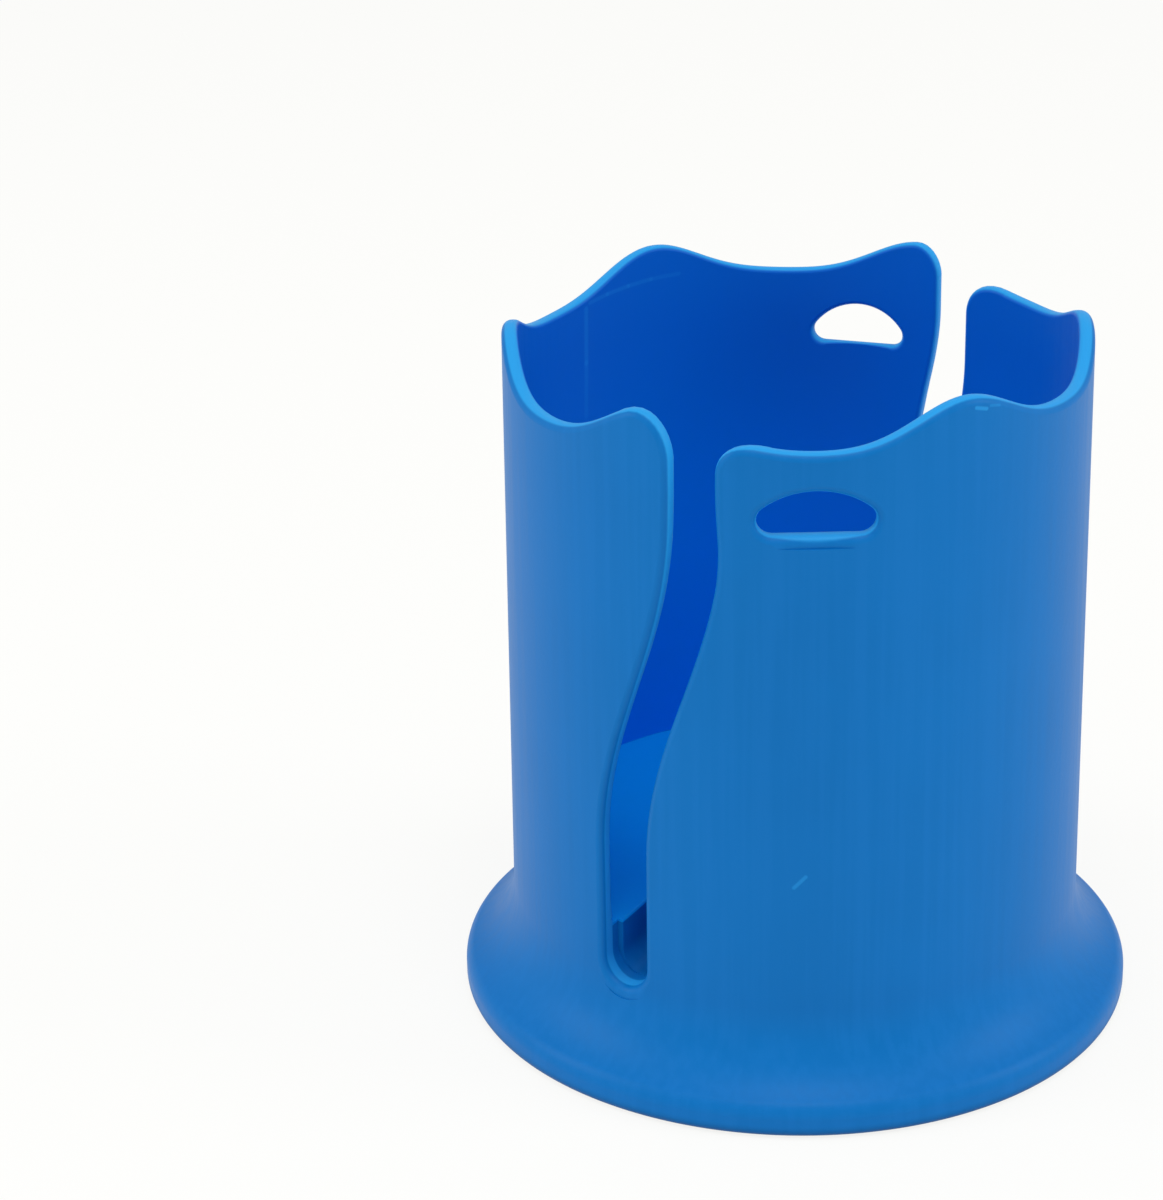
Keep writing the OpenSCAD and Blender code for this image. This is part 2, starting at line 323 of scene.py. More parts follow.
def stack(rings, closed):
    """Faces that join rings of points, with flat ends unless the stack closes on itself."""
    m = len(rings[0])
    points = [p for ring in rings for p in ring]
    count = len(rings)
    faces = []
    for i in range(count if closed else count - 1):
        n = (i + 1) % count
        for j in range(m):
            k = (j + 1) % m
            faces.append((n * m + j, n * m + k, i * m + k))
            faces.append((n * m + j, i * m + k, i * m + j))
    if not closed:
        for ring, flip in ((0, False), (count - 1, True)):
            for j in range(m // 2 - 1):
                quad = [ring * m + j, ring * m + j + 1, ring * m + m - 2 - j, ring * m + m - 1 - j]
                quad = quad[::-1] if flip else quad
                faces += [(quad[0], quad[1], quad[2]), (quad[0], quad[2], quad[3])]
        faces = [f[::-1] for f in faces]
    return points, faces


def slot_mid(s, z):
    """How far the slot's middle line is from its plane at height z."""
    part = min(max((z - s.bend_low) / (s.bend_top - s.bend_low), 0), 1)
    return -s.slot_swing * cos(180 * part)


def narrowing(s, z):
    """How far a slot's mouth is narrowed at height z, from nothing to one."""
    part = min(max((z - s.bend_top + PINCH_START) / PINCH_RUN, 0), 1)
    return (1 - cos(180 * part)) / 2


def slot_shape(s, width, shift, wide_pinch, slim_pinch, mirrored):
    """A cut along the S-shaped slot, with widened faces that round the wall's edges."""
    base = s.slot_low + width / 2
    rows = [(dip, base) for dip in BOTTOM_STEPS]
    rows += [(0, base + (s.cut_h + 1 - base) * i / SLOT_ROWS) for i in range(SLOT_ROWS + 1)]
    layers = wall_layers(s)
    rings = []
    for dip, z in rows:
        ring = []
        open_part = min(max((z - s.floor_h - OPEN_START) / OPEN_RUN, 0), 1)
        for side, order, pinch in ((-1, layers, wide_pinch), (1, layers[::-1], slim_pinch)):
            for r, spread in order:
                half = width / 2 + spread * (open_part if r < s.mid_r else 1)
                across = slot_mid(s, z) + shift + side * (half * cos(dip) - pinch * narrowing(s, z))
                ring.append(spot(s, s.slot_turn, across, z - half * sin(dip), r))
        rings.append(ring)
    points, faces = stack(rings, False)
    if mirrored:
        nx, ny = sin(s.slot_turn), -cos(s.slot_turn)
        away = [2 * (x * nx + y * ny) for x, y, z in points]
        points = [(x - d * nx, y - d * ny, z) for (x, y, z), d in zip(points, away)]
        faces = [f[::-1] for f in faces]
    return points, faces


def channel_shape(s):
    """A straight cut across the floor, along the plane of the slots, with a round bottom."""
    half = s.back_slot_w / 2 - SIDE_PLAY
    base = s.slot_low + s.back_slot_w / 2
    outline = [(half * math.cos(t), base + half * math.sin(t))
               for t in np.linspace(math.pi, 2 * math.pi, CHANNEL_STEPS)]
    outline.append((half, s.floor_h - BEVEL))
    for a in BEVEL_ARC:
        outline.append((half + BEVEL * (1 - cos(a)), s.floor_h - BEVEL * (1 - sin(a))))
    outline.append((half + BEVEL + CHANNEL_SPARE, s.floor_h + CHANNEL_SPARE))
    outline += [(-x, z) for x, z in outline[:CHANNEL_STEPS - 1:-1]]
    along = (sin(s.slot_turn), -cos(s.slot_turn))
    out = (cos(s.slot_turn), sin(s.slot_turn))
    limit = s.bore_r + s.inner_edge_r - CHANNEL_STOP
    rings = []
    for end in (-1, 1):
        ring = []
        for x, z in outline:
            across = x - s.slot_swing
            run = end * math.sqrt(limit ** 2 - across ** 2)
            ring.append((along[0] * run + out[0] * across, along[1] * run + out[1] * across, z))
        rings.append(ring)
    m = len(outline)
    points = rings[0] + rings[1]
    faces = [(j, (j + 1) % m, m + (j + 1) % m, m + j) for j in range(m)]
    faces += [tuple(range(m))[::-1], tuple(range(m, 2 * m))]
    return points, faces


def rim_top(s, t):
    """Height of the rim at a turn."""
    return (s.rim_h + s.wave_h * cos(6 * (t - s.crest_turn))
            + s.crest_h * cos(12 * (t - s.crest_turn)) + s.rim_tilt * sin(t)
            + s.uneven_h * sum(cos(waves * (t - start)) for waves, start in UNEVEN_WAVES))


def rim_corner(s, plane, edge, side, r):
    """Rim points [plane, across, z, in, down] round the corner of a panel beside a slot."""
    points = []
    for a in CORNER_ARC:
        across = edge + side * r * (1 - cos(a))
        top = rim_top(s, turn_at(s, plane, across))
        points.append((plane, across, top - r * (1 - sin(a)), side * cos(a), -sin(a)))
    foot = (plane, edge - side * FOOT_IN, points[0][2] - FOOT_DROP, side, 0)
    return [foot] + points


def rim_shape(s):
    """A cut that takes away everything above the rounded, wavy rim."""
    def run(start, stop, count):
        turns = [start + (stop - start) * i / count for i in range(1, count)]
        return [(t, 0, rim_top(s, t), 0, -1) for t in turns]

    def mouth(plane, across):
        top = rim_top(s, turn_at(s, plane, across))
        return [(plane, across, top - s.wide_front_r - MOUTH_DIP, 0, 0)]

    wide_front = s.slot_swing - s.slot_w / 2 - s.slot_shift + s.front_pinch / 2
    slim_front = s.slot_swing + s.slot_w / 2 - s.slot_shift - s.front_pinch
    wide_back = s.slot_swing - s.back_slot_w / 2 + s.back_pinch
    slim_back = s.slot_swing + s.back_slot_w / 2
    front, back, end = s.slot_turn, s.slot_turn + 180, s.slot_turn + 360
    path = rim_corner(s, front, slim_front, 1, s.slim_front_r)
    path += run(turn_at(s, front, slim_front + s.slim_front_r),
                turn_at(s, back, -slim_back - s.slim_back_r), SLIM_RIM_STEPS)
    path += rim_corner(s, back, -slim_back, -1, s.slim_back_r)[::-1]
    path += mouth(back, -s.slot_swing)
    path += rim_corner(s, back, -wide_back, 1, s.wide_back_r)
    path += run(turn_at(s, back, s.wide_back_r - wide_back),
                turn_at(s, end, wide_front - s.wide_front_r), WIDE_RIM_STEPS)
    path += rim_corner(s, end, wide_front, -1, s.wide_front_r)[::-1]
    path += mouth(end, s.slot_swing)
    layers = wall_layers(s)
    rings = []
    for plane, across, z, inward, down in path:
        ring = [spot(s, plane, across + inward * spread, z + down * spread, r) for r, spread in layers]
        ring += [spot(s, plane, across, s.cut_h, r) for r in (s.tube_r + CLEAR, s.bore_r - CLEAR)]
        rings.append(ring)
    return stack(rings, True)


def hole_shape(s, hole_turn, low, height, top_r, corner_r):
    """A half-moon cut through the wall with rounded edges."""
    mid = low + height - top_r
    up = low + corner_r - mid
    out = math.sqrt((top_r - corner_r) ** 2 - up ** 2)
    meet = math.degrees(math.atan2(up, out))
    rings = []
    for r, spread in wall_layers(s):
        corner, top = corner_r + spread, top_r + spread
        outline = []
        for i in range(HOLE_CORNER_STEPS):
            a = -90 + (90 + meet) * i / HOLE_CORNER_STEPS
            outline.append((out + corner * cos(a), mid + up + corner * sin(a)))
        for i in range(HOLE_TOP_STEPS):
            a = meet + (180 - 2 * meet) * i / (HOLE_TOP_STEPS - 1)
            outline.append((top * cos(a), mid + top * sin(a)))
        for i in reversed(range(HOLE_CORNER_STEPS)):
            a = 270 - (90 + meet) * i / HOLE_CORNER_STEPS
            outline.append((-out + corner * cos(a), mid + up + corner * sin(a)))
        rings.append([spot(s, hole_turn, x, z, r) for x, z in outline])
    return stack(rings, False)


def blank_profile(s):
    """Half outline of the uncut body, from the axis under the foot round to the cup's floor."""
    def arc(cx, cz, r, start, stop, count):
        steps = [start + (stop - start) * i / count for i in range(count + 1)]
        return [(cx + r * cos(a), cz + r * sin(a)) for a in steps]

    meet = math.degrees(math.atan2(s.flare_z - s.side_h, s.flare_x - s.lip_x))
    profile = [(s.foot_r - s.heel_r - UNDER_EDGE, 0)]
    profile += arc(s.foot_r - s.heel_r, s.heel_r, s.heel_r, -90, 0, 6)
    profile += arc(s.lip_x, s.side_h, s.lip_r, 0, meet, 14)
    profile += arc(s.flare_x, s.flare_z, s.flare_r, 180 + meet, 180, 30)[1:]
    profile.append((s.tube_r + s.lean(s.blank_h), s.blank_h))
    profile += [(s.bore_r, s.blank_h), (s.bore_r, s.floor_h)]
    return profile


def blank_shape(s):
    """The uncut body: a turned foot and tube with a solid floor."""
    profile = blank_profile(s)
    points = []
    for i in range(AROUND):
        a = 2 * math.pi * (i + 0.5) / AROUND
        points += [(r * math.sin(a), -r * math.cos(a), z) for r, z in profile]
    m = len(profile)
    faces = []
    for i in range(AROUND):
        n = (i + 1) % AROUND
        faces += [(i * m + j, n * m + j, n * m + j + 1, i * m + j + 1) for j in range(m - 1)]
    faces.append(tuple(i * m for i in range(AROUND))[::-1])
    faces.append(tuple(i * m + m - 1 for i in range(AROUND)))
    return points, faces


def shape_object(name, shape):
    """A mesh object from points and faces."""
    mesh = bpy.data.meshes.new(name)
    mesh.from_pydata(shape[0], [], shape[1])
    mesh.update()
    obj = bpy.data.objects.new(name, mesh)
    bpy.context.scene.collection.objects.link(obj)
    return obj


def carve(body, cutters):
    """The body's mesh with every cutter taken away."""
    for cutter in cutters:
        cut = body.modifiers.new("cut", "BOOLEAN")
        cut.operation = "DIFFERENCE"
        cut.solver = "MANIFOLD"
        cut.object = cutter
    graph = bpy.context.evaluated_depsgraph_get()
    mesh = bpy.data.meshes.new_from_object(body.evaluated_get(graph))
    for obj in [body] + cutters:
        old = obj.data
        bpy.data.objects.remove(obj)
        bpy.data.meshes.remove(old)
    return mesh


def profile_normal(s, r, z):
    """The outward direction [radial, up] of the foot's outer curve at a point, or None off it."""
    if z <= s.side_h:
        if r > s.foot_r - ON_CURVE and z >= s.heel_r:
            return (1, 0)
        d = (r - (s.foot_r - s.heel_r), z - s.heel_r)
        if abs(math.hypot(*d) - s.heel_r) < ON_CURVE and d[0] > -ON_CURVE / 2:
            return (d[0] / s.heel_r, d[1] / s.heel_r)
        return None
    d = (r - s.lip_x, z - s.side_h)
    if abs(math.hypot(*d) - s.lip_r) < ON_CURVE and r > s.lip_x - s.lip_r:
        return (d[0] / s.lip_r, d[1] / s.lip_r)
    d = (s.flare_x - r, s.flare_z - z)
    if abs(math.hypot(*d) - s.flare_r) < ON_FLARE and z <= s.flare_z:
        return (d[0] / s.flare_r, d[1] / s.flare_r)
    return None


def true_normals(s, mesh):
    """Corner normals: exact on the tube, foot and floor, and smoothed on the rounded edges."""
    count = len(mesh.vertices)
    co = np.empty(count * 3)
    mesh.vertices.foreach_get("co", co)
    co = co.reshape(-1, 3)
    near = cos(CREASE)
    known = [[] for _ in range(count)]
    radius = np.hypot(co[:, 0], co[:, 1])
    for v in range(count):
        x, y, z = co[v]
        r = radius[v]
        if r < 1e-6:
            continue
        if abs(r - s.tube_r - s.lean(z)) < ON_TUBE and z > s.flare_z - ON_CURVE:
            known[v].append((x / r, y / r, 0))
        if abs(r - s.bore_r) < ON_BORE and z > s.floor_h - ON_CURVE:
            known[v].append((-x / r, -y / r, 0))
        if abs(z - s.floor_h) < ON_FLAT and r < s.bore_r + ON_CURVE:
            known[v].append((0, 0, 1))
        if abs(z) < ON_FLAT:
            known[v].append((0, 0, -1))
        if z < s.flare_z and r > s.base_r - ON_CURVE:
            side = profile_normal(s, r, z)
            if side:
                known[v].append((side[0] * x / r, side[0] * y / r, side[1]))
    flat = np.empty(len(mesh.polygons) * 3)
    mesh.polygons.foreach_get("normal", flat)
    flat = flat.reshape(-1, 3)
    area = np.empty(len(mesh.polygons))
    mesh.polygons.foreach_get("area", area)
    around = [[] for _ in range(count)]
    for p in mesh.polygons:
        for v in p.vertices:
            around[v].append(p.index)
    normals = []
    for p in mesh.polygons:
        n = flat[p.index]
        for v in p.vertices:
            best = None
            for k in known[v]:
                if n[0] * k[0] + n[1] * k[1] + n[2] * k[2] > near:
                    best = k
            if best is None:
                total = np.zeros(3)
                for q in around[v]:
                    if n @ flat[q] > near:
                        total += flat[q] * min(area[q], LARGE_FACE)
                size = np.linalg.norm(total)
                best = tuple(total / size) if size > 1e-9 else tuple(n)
            normals.append(best)
    return normals


# Node groups and materials

# Half width in metres of the blur where the inside meets the wall's cut edges
BAND_BLUR = 0.0003
# Small marks on the plastic: face, turn and height of both ends, half width in mm, strength
MARKS = [
    ("outer", (0.1, 38.0), (2.3, 39.8), 0.42, 0.42),
    ("outer", (34.4, 110.1), (36.8, 109.6), 0.4, 0.6),
    ("outer", (37.7, 109.9), (39.9, 109.6), 0.3, 0.3),
    ("inner", (-127.3, 104.0), (-127.0, 95.0), 0.7, 0.2),
    ("inner", (-127.0, 95.0), (-126.6, 86.0), 0.7, 0.16),
    ("inner", (-128.5, 104.8), (-134.0, 105.3), 0.5, 0.16),
    ("inner", (-134.0, 105.3), (-140.0, 105.7), 0.5, 0.18),
    ("inner", (-140.0, 105.7), (-146.0, 106.0), 0.5, 0.16),
    ("inner", (-146.0, 106.0), (-153.0, 106.1), 0.5, 0.12),
]


def group(name, inputs, outputs):
    """A new node group with its sockets, and its input and output nodes."""
    tree = bpy.data.node_groups.new(name, "ShaderNodeTree")
    for kind, label, default in inputs:
        socket = tree.interface.new_socket(label, in_out="INPUT", socket_type=kind)
        if default is not None:
            socket.default_value = default
    for kind, label in outputs:
        tree.interface.new_socket(label, in_out="OUTPUT", socket_type=kind)
    return tree, tree.nodes.new("NodeGroupInput"), tree.nodes.new("NodeGroupOutput")


def node(tree, kind, settings=None, **values):
    """A node with its settings and its sockets, by name or as i0, i1, set to a value or linked."""
    made = tree.nodes.new(kind)
    for key, value in (settings or {}).items():
        setattr(made, key, value)
    for key, value in values.items():
        by_number = key[0] == "i" and key[1:].isdigit()
        place = made.inputs[int(key[1:]) if by_number else key]
        if isinstance(value, bpy.types.NodeSocket):
            tree.links.new(value, place)
        else:
            place.default_value = value
    return made


def maths(tree, operation, *values):
    """The result of a Math node."""
    return node(tree, "ShaderNodeMath", {"operation": operation},
                **{f"i{i}": v for i, v in enumerate(values)}).outputs[0]


def vector_maths(tree, operation, *values):
    """The result of a Vector Math node."""
    made = node(tree, "ShaderNodeVectorMath", {"operation": operation},
                **{f"i{i}": v for i, v in enumerate(values)})
    return made.outputs["Value" if operation in ("DOT_PRODUCT", "LENGTH", "DISTANCE") else "Vector"]


def smooth_range(tree, value, low, high, out_low=0.0, out_high=1.0):
    """A value run smoothly from one range into another."""
    sockets = {"Value": value, "From Min": low, "From Max": high, "To Min": out_low, "To Max": out_high}
    return node(tree, "ShaderNodeMapRange", {"interpolation_type": "SMOOTHSTEP"}, **sockets).outputs[0]


def blend_colour(tree, factor, first, second):
    """A mix of two colours; inputs 6 and 7 and output 2 are the Mix node's colours."""
    first, second = (c if isinstance(c, bpy.types.NodeSocket) else (*c, 1) for c in (first, second))
    return node(tree, "ShaderNodeMix", {"data_type": "RGBA"}, i0=factor, i6=first, i7=second).outputs[2]


def object_place(tree):
    """The object's own coordinates, and the distance of each point from its upright axis."""
    place = tree.nodes.new("ShaderNodeTexCoord").outputs["Object"]
    return place, vector_maths(tree, "LENGTH", vector_maths(tree, "MULTIPLY", place, (1, 1, 0)))


def height_of(tree, place):
    """The height of each point."""
    return node(tree, "ShaderNodeSeparateXYZ", Vector=place).outputs["Z"]


def cloud_group():
    """Faint cloudiness of moulded plastic."""
    tree, start, end = group("Moulded clouds", [("NodeSocketFloat", "Scale", 60.0)],
                             [("NodeSocketFloat", "Mask")])
    place = tree.nodes.new("ShaderNodeTexCoord").outputs["Object"]
    noise = node(tree, "ShaderNodeTexNoise", Vector=place, Scale=start.outputs["Scale"],
                 Detail=3.0, Roughness=0.55)
    tree.links.new(smooth_range(tree, noise.outputs[0], 0.3, 0.7), end.inputs["Mask"])
    return tree


def streak_group():
    """Faint upright marks left as the part is drawn from its mould."""
    tree, start, end = group("Draw streaks", [
        ("NodeSocketFloat", "Scale", 700.0),
        ("NodeSocketFloat", "Stretch", 0.03),
    ], [("NodeSocketFloat", "Mask")])
    place = tree.nodes.new("ShaderNodeTexCoord").outputs["Object"]
    thin = node(tree, "ShaderNodeCombineXYZ", X=1.0, Y=1.0, Z=start.outputs["Stretch"]).outputs[0]
    run = vector_maths(tree, "MULTIPLY", place, thin)
    noise = node(tree, "ShaderNodeTexNoise", Vector=run, Scale=start.outputs["Scale"],
                 Detail=2.0, Roughness=0.5)
    tree.links.new(smooth_range(tree, noise.outputs[0], 0.35, 0.7), end.inputs["Mask"])
    return tree


def cut_edge_group():
    """Marks the surfaces that lie inside the wall's thickness: the rim and the sides of every cut."""
    tree, start, end = group("Cut edges", [
        ("NodeSocketFloat", "Middle", 0.0436),
        ("NodeSocketFloat", "Half", 0.0014),
        ("NodeSocketFloat", "Low", 0.015),
    ], [("NodeSocketFloat", "Mask")])
    place, far = object_place(tree)
    off = maths(tree, "ABSOLUTE", maths(tree, "SUBTRACT", far, start.outputs["Middle"]))
    depth = maths(tree, "SUBTRACT", 1.0, maths(tree, "DIVIDE", off, start.outputs["Half"]))
    mask = smooth_range(tree, depth, 0.02, 0.35)
    high = maths(tree, "GREATER_THAN", height_of(tree, place), start.outputs["Low"])
    tree.links.new(maths(tree, "MULTIPLY", mask, high), end.inputs["Mask"])
    return tree


def band_group():
    """Marks what lies nearer the axis than a radius, between two heights."""
    tree, start, end = group("Inside band", [
        ("NodeSocketFloat", "Radius", 0.0425),
        ("NodeSocketFloat", "Low", 0.0),
        ("NodeSocketFloat", "High", 1.0),
    ], [("NodeSocketFloat", "Mask")])
    place, far = object_place(tree)
    height = height_of(tree, place)
    near = smooth_range(tree, maths(tree, "SUBTRACT", start.outputs["Radius"], far), -BAND_BLUR, BAND_BLUR)
    above = maths(tree, "GREATER_THAN", height, start.outputs["Low"])
    below = maths(tree, "LESS_THAN", height, start.outputs["High"])
    tree.links.new(maths(tree, "MULTIPLY", maths(tree, "MULTIPLY", near, above), below), end.inputs["Mask"])
    return tree


def height_group():
    """Fades from one at a low height to nothing at a high one."""
    tree, start, end = group("Height fade", [
        ("NodeSocketFloat", "Low", 0.0),
        ("NodeSocketFloat", "High", 0.1),
    ], [("NodeSocketFloat", "Mask")])
    height = height_of(tree, tree.nodes.new("ShaderNodeTexCoord").outputs["Object"])
    fade = smooth_range(tree, height, start.outputs["Low"], start.outputs["High"], 1.0, 0.0)
    tree.links.new(fade, end.inputs["Mask"])
    return tree


def scratch_group():
    """A short straight scratch or nick between two points."""
    tree, start, end = group("Short scratch", [
        ("NodeSocketVector", "From", None),
        ("NodeSocketVector", "To", None),
        ("NodeSocketFloat", "Width", 0.0002),
    ], [("NodeSocketFloat", "Mask")])
    place = tree.nodes.new("ShaderNodeTexCoord").outputs["Object"]
    arm = vector_maths(tree, "SUBTRACT", place, start.outputs["From"])
    whole = vector_maths(tree, "SUBTRACT", start.outputs["To"], start.outputs["From"])
    part = maths(tree, "DIVIDE", vector_maths(tree, "DOT_PRODUCT", arm, whole),
                 vector_maths(tree, "DOT_PRODUCT", whole, whole))
    part = node(tree, "ShaderNodeClamp", Value=part).outputs[0]
    nearest = node(tree, "ShaderNodeVectorMath", {"operation": "SCALE"}, i0=whole, Scale=part)
    off = vector_maths(tree, "DISTANCE", arm, nearest.outputs["Vector"])
    share = maths(tree, "DIVIDE", off, start.outputs["Width"])
    tree.links.new(smooth_range(tree, share, 1.0, 0.3), end.inputs["Mask"])
    return tree


def grain_group():
    """Height of the plastic's fine skin."""
    tree, start, end = group("Plastic skin", [("NodeSocketFloat", "Scale", 900.0)],
                             [("NodeSocketFloat", "Height")])
    place = tree.nodes.new("ShaderNodeTexCoord").outputs["Object"]
    fine = node(tree, "ShaderNodeTexNoise", Vector=place, Scale=start.outputs["Scale"], Detail=2.0)
    tree.links.new(fine.outputs[0], end.inputs["Height"])
    return tree


def placed(tree, source, **values):
    """A group placed in a material with its own values."""
    made = tree.nodes.new("ShaderNodeGroup")
    made.node_tree = source
    for key, value in values.items():
        made.inputs[key].default_value = value
    return made.outputs[0]


def mark_ends(s, face, first, last):
    """Two points on the outer or inner face in metres, each from its turn and its height."""
    points = []
    for about, z in (first, last):
        r = s.bore_r if face == "inner" else s.tube_r + s.lean(z)
        points.append((r * sin(about) * MM, -r * cos(about) * MM, z * MM))
    return points


def plastic_material(s, finish):
    """Satin moulded plastic with a painted highlight on its cut edges, painted light inside the cup, painted
    shade on the foot's lowest edge, faint clouds and streaks, and a few small marks.
    """
    mat = bpy.data.materials.new("blue_plastic")
    mat.use_nodes = True
    tree = mat.node_tree
    shader = tree.nodes["Principled BSDF"]
    body = tuple(finish.body)
    pale = tuple(finish.pale)
    clouds = placed(tree, cloud_group(), Scale=55.0)
    streaks = placed(tree, streak_group(), Scale=650.0, Stretch=0.03)
    # The cut edges' mask carries the painted highlight on the rim and on the sides of the slots and holes
    edges = placed(tree, cut_edge_group(), Middle=(s.mid_r - 0.3) * MM, Half=1.1 * MM,
                   Low=(s.slot_low - 1) * MM)
    dark = tuple(c * 0.93 for c in body)
    light = tuple(min(c * 1.05 + 0.004, 1) for c in body)
    # Painted light inside the cup: the inner wall and the cup's floor take lighter colours, lightest low
    # down, in place of light through the wall
    inside, inside_r, floor_top = band_group(), (s.bore_r + 0.3) * MM, (s.floor_h + 0.1) * MM
    wall = placed(tree, inside, Radius=inside_r, Low=floor_top, High=1.0)
    cup_floor_light = placed(tree, inside, Radius=inside_r, Low=(s.floor_h - 0.4) * MM, High=floor_top)
    fade = height_group()
    depth = placed(tree, fade, Low=(s.floor_h + 30) * MM, High=(s.rim_h - 8) * MM)
    # Painted shade on the foot's lowest edge
    heel = placed(tree, fade, Low=0.0, High=2.2 * MM)
    inner = blend_colour(tree, depth, tuple(finish.upper_inside_light), tuple(finish.glow))
    base = body
    # Blends the clouds, the streaks, the painted light on the inner wall and cup floor, the painted heel
    # shade and the painted edge highlight
    for mask, share, shade in ((clouds, finish.mottle, dark), (streaks, finish.streaks, light),
                               (wall, 1.0, inner), (cup_floor_light, 1.0, tuple(finish.cup_floor_light)),
                               (heel, finish.heel, tuple(c * 0.3 for c in body)), (edges, finish.edge, pale)):
        base = blend_colour(tree, maths(tree, "MULTIPLY", mask, float(share)), base, shade)
    scratch = scratch_group()
    for face, first, last, width, strength in MARKS:
        start, end = mark_ends(s, face, first, last)
        mask = placed(tree, scratch, From=start, To=end, Width=width * MM)
        base = blend_colour(tree, maths(tree, "MULTIPLY", mask, strength), base, pale)
    tree.links.new(base, shader.inputs["Base Color"])
    rough = maths(tree, "ADD", float(finish.rough), maths(tree, "MULTIPLY", streaks, 0.05))
    tree.links.new(rough, shader.inputs["Roughness"])
    grain = placed(tree, grain_group(), Scale=900.0)
    bump = node(tree, "ShaderNodeBump", Strength=0.08, Distance=0.0002, Height=grain)
    tree.links.new(bump.outputs[0], shader.inputs["Normal"])
    shader.inputs["IOR"].default_value = 1.49
    shader.inputs["Specular IOR Level"].default_value = finish.gloss
    return mat


# Stage, lamps and camera

def stage_material(stage):
    """A pale floor that looks white to the eye, lights as plain paint and keeps a soft shadow."""
    mat = bpy.data.materials.new("pale_floor")
    mat.use_nodes = True
    tree = mat.node_tree
    tree.nodes.remove(tree.nodes["Principled BSDF"])
    shade = (*stage.floor, 1)
    plain = node(tree, "ShaderNodeBsdfDiffuse", Color=shade)
    glow = node(tree, "ShaderNodeEmission", Color=shade, Strength=1.0)
    path = tree.nodes.new("ShaderNodeLightPath")
    seen = maths(tree, "MAXIMUM", path.outputs["Is Camera Ray"], path.outputs["Is Glossy Ray"])
    seen = maths(tree, "MAXIMUM", seen, path.outputs["Is Transmission Ray"])
    share = maths(tree, "MULTIPLY", seen, float(stage.floor_glow))
    mix = node(tree, "ShaderNodeMixShader", i0=share, i1=plain.outputs[0], i2=glow.outputs[0])
    tree.links.new(mix.outputs[0], tree.nodes["Material Output"].inputs["Surface"])
    return mat


def set_world(stage):
    """Even light from all round, behind which the backdrop is as pale as the floor."""
    world = bpy.data.worlds.new("pale_room")
    world.use_nodes = True
    bpy.context.scene.world = world
    tree = world.node_tree
    back = tree.nodes["Background"]
    back.inputs["Color"].default_value = (1, 1, 1, 1)
    back.inputs["Strength"].default_value = stage.sky
    seen = node(tree, "ShaderNodeBackground", Color=(*stage.floor, 1), Strength=1.0)
    path = tree.nodes.new("ShaderNodeLightPath")
    mix = node(tree, "ShaderNodeMixShader", i0=path.outputs["Is Camera Ray"],
               i1=back.outputs[0], i2=seen.outputs[0])
    tree.links.new(mix.outputs[0], tree.nodes["World Output"].inputs["Surface"])


def add_lamp(name, place, width, height, watts):
    """A soft rectangular lamp that faces the cup."""
    data = bpy.data.lights.new(name, "AREA")
    data.shape = "RECTANGLE"
    data.size = width
    data.size_y = height
    data.energy = watts
    lamp = bpy.data.objects.new(name, data)
    lamp.location = place
    lamp.rotation_euler = (Vector(LAMP_AIM) - Vector(place)).to_track_quat("-Z", "Y").to_euler()
    bpy.context.scene.collection.objects.link(lamp)


def add_camera():
    """The camera at the photograph's place, angle and field of view."""
    yaw, pitch, roll = CAMERA_YAW, CAMERA_PITCH, CAMERA_ROLL
    ahead = Vector((sin(yaw) * cos(pitch), cos(yaw) * cos(pitch), -sin(pitch)))
    level = Vector((cos(yaw), -sin(yaw), 0))
    down = ahead.cross(level)
    right = level * cos(roll) + down * sin(roll)
    down = down * cos(roll) - level * sin(roll)
    data = bpy.data.cameras.new("photo_camera")
    data.sensor_fit = "VERTICAL"
    data.sensor_height = SENSOR_HEIGHT
    data.lens = FOCAL_PIXELS / PHOTO_HEIGHT * SENSOR_HEIGHT
    data.clip_start = 0.01
    camera = bpy.data.objects.new("photo_camera", data)
    turned = Matrix((right, -down, -ahead)).transposed().to_4x4()
    camera.matrix_world = Matrix.Translation(CAMERA_PLACE) @ turned
    bpy.context.scene.collection.objects.link(camera)
    bpy.context.scene.camera = camera


# Operators

class CUP_OT_body(Operator):
    """Make the moulded body with its rounded rim, slots, holes, floor and foot"""

    bl_idname = "cup.make_body"
    bl_label = "Make body"

    def execute(self, context):
        s = Sizes(context.scene.cup_sizes)
        body = shape_object("blank", blank_shape(s))
        shapes = {
            "rim_cut": rim_shape(s),
            "slot_cut": slot_shape(s, s.slot_w, -s.slot_shift, s.front_pinch / 2, s.front_pinch, False),
            "back_slot_cut": slot_shape(s, s.back_slot_w, 0, s.back_pinch, 0, True),
            "channel_cut": channel_shape(s),
            "front_hole_cut": hole_shape(s, s.front_hole_turn, s.rim_h - s.front_hole_drop,
                                         s.front_hole_h, s.front_hole_r, s.front_corner_r),
            "back_hole_cut": hole_shape(s, s.back_hole_turn, s.rim_h - s.back_hole_drop,
                                        s.back_hole_h, s.back_hole_r, s.back_corner_r),
        }
        cutters = [shape_object(name, shape) for name, shape in shapes.items()]
        mesh = carve(body, cutters)
        if len(mesh.polygons) < LEAST_FACES:
            raise RuntimeError("the cuts left too little of the body")
        normals = true_normals(s, mesh)
        mesh.transform(Matrix.Scale(MM, 4))
        mesh.shade_smooth()
        mesh.normals_split_custom_set(normals)
        mesh.name = "cup_body"
        obj = bpy.data.objects.new("cup_body", mesh)
        context.scene.collection.objects.link(obj)
        mesh.materials.clear()
        mesh.materials.append(plastic_material(s, context.scene.cup_finish))
        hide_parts(NODE)
        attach(obj, "root")
        return {"FINISHED"}


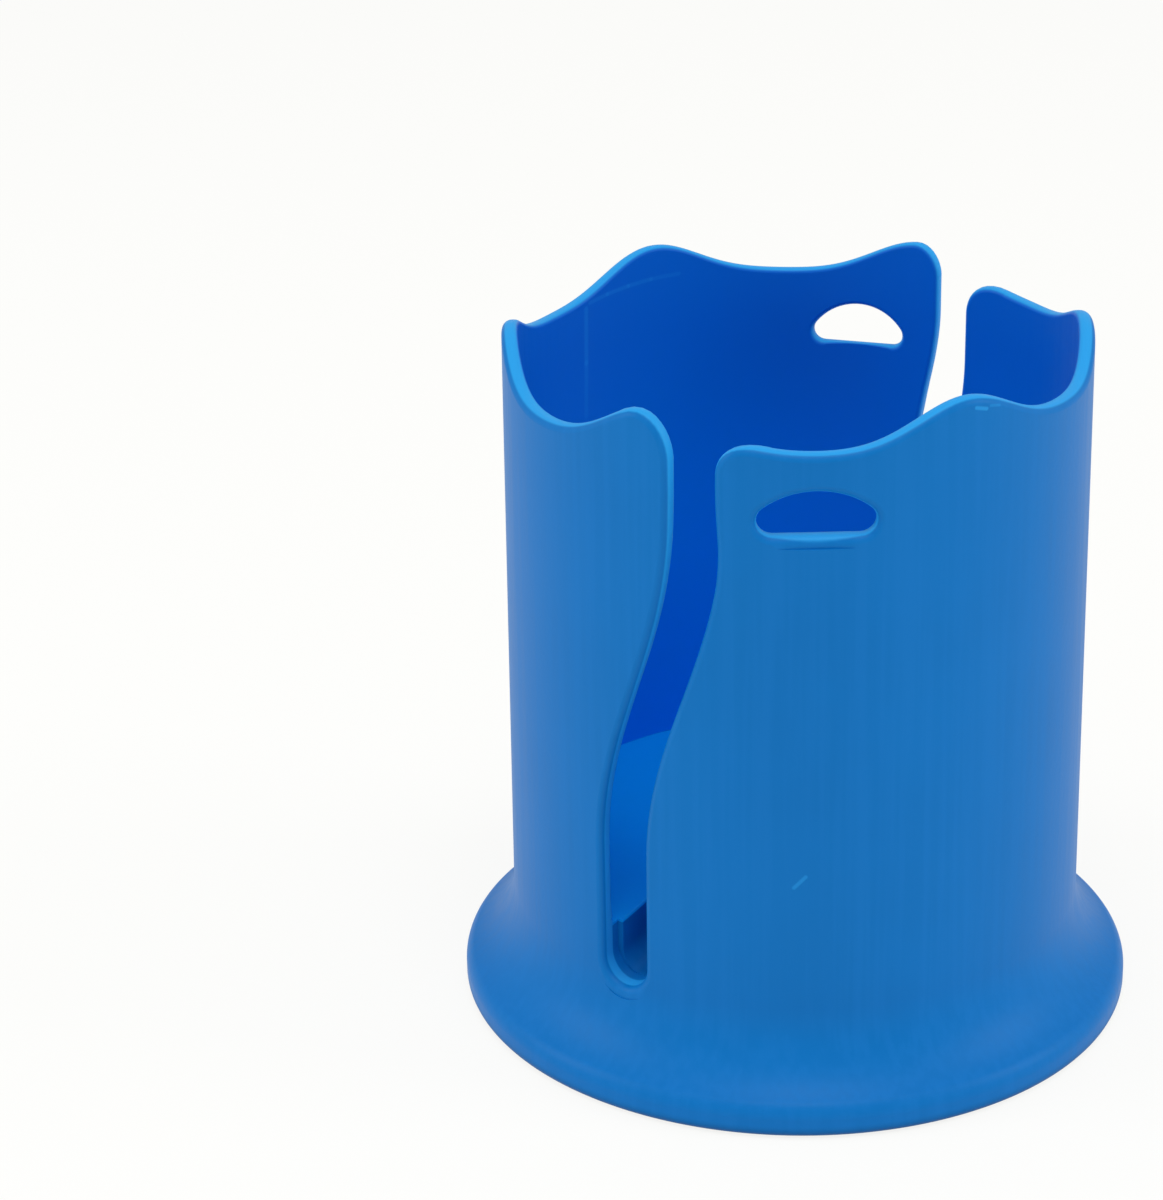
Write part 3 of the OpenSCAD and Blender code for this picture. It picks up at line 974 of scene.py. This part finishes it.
class CUP_OT_stage(Operator):
    """Set the pale floor and backdrop, the lamps and the camera"""

    bl_idname = "cup.make_stage"
    bl_label = "Make stage"

    def execute(self, context):
        stage = context.scene.cup_stage
        corners = [(x * STAGE_HALF, y * STAGE_HALF, 0) for x, y in ((-1, -1), (1, -1), (1, 1), (-1, 1))]
        floor = shape_object("stage_floor", (corners, [(0, 1, 2, 3)]))
        floor.location.z = -STAGE_DROP
        floor.data.materials.append(stage_material(stage))
        floor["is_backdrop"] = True
        set_world(stage)
        for name, place, width, height, setting in LAMPS:
            add_lamp(name, place, width, height, getattr(stage, setting))
        add_camera()
        context.scene.view_settings.view_transform = "Standard"
        return {"FINISHED"}


class CUP_PT_panel(Panel):
    """Sizes, finish and stage of the cup holder"""

    bl_idname = "CUP_PT_panel"
    bl_label = "Cup holder"
    bl_space_type = "VIEW_3D"
    bl_region_type = "UI"
    bl_category = "Cup holder"

    def draw(self, context):
        layout = self.layout
        for title, name, button in (("Body", "cup_sizes", "cup.make_body"),
                                    ("Plastic", "cup_finish", None),
                                    ("Stage", "cup_stage", "cup.make_stage")):
            box = layout.box()
            box.label(text=title)
            group_of = getattr(context.scene, name)
            for prop in type(group_of).__annotations__:
                box.prop(group_of, prop)
            if button:
                box.operator(button)


CLASSES = (CupSizes, CupFinish, CupStage, CUP_OT_body, CUP_OT_stage, CUP_PT_panel)


def register():
    """Register the classes and their settings on the scene."""
    for item in CLASSES:
        bpy.utils.register_class(item)
    bpy.types.Scene.cup_sizes = PointerProperty(type=CupSizes)
    bpy.types.Scene.cup_finish = PointerProperty(type=CupFinish)
    bpy.types.Scene.cup_stage = PointerProperty(type=CupStage)


def unregister():
    """Take the classes and settings away again."""
    for name in ("cup_sizes", "cup_finish", "cup_stage"):
        delattr(bpy.types.Scene, name)
    for item in reversed(CLASSES):
        bpy.utils.unregister_class(item)


def plain(box):
    """A box's two corners as plain lists of numbers."""
    return [[float(v) for v in corner] for corner in box]


def main():
    """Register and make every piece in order."""
    before = plain(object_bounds())
    register()
    bpy.ops.cup.make_body()
    bpy.ops.cup.make_stage()
    {"cad": before, "visual": plain(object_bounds())}


if __name__ == "__main__":
    main()
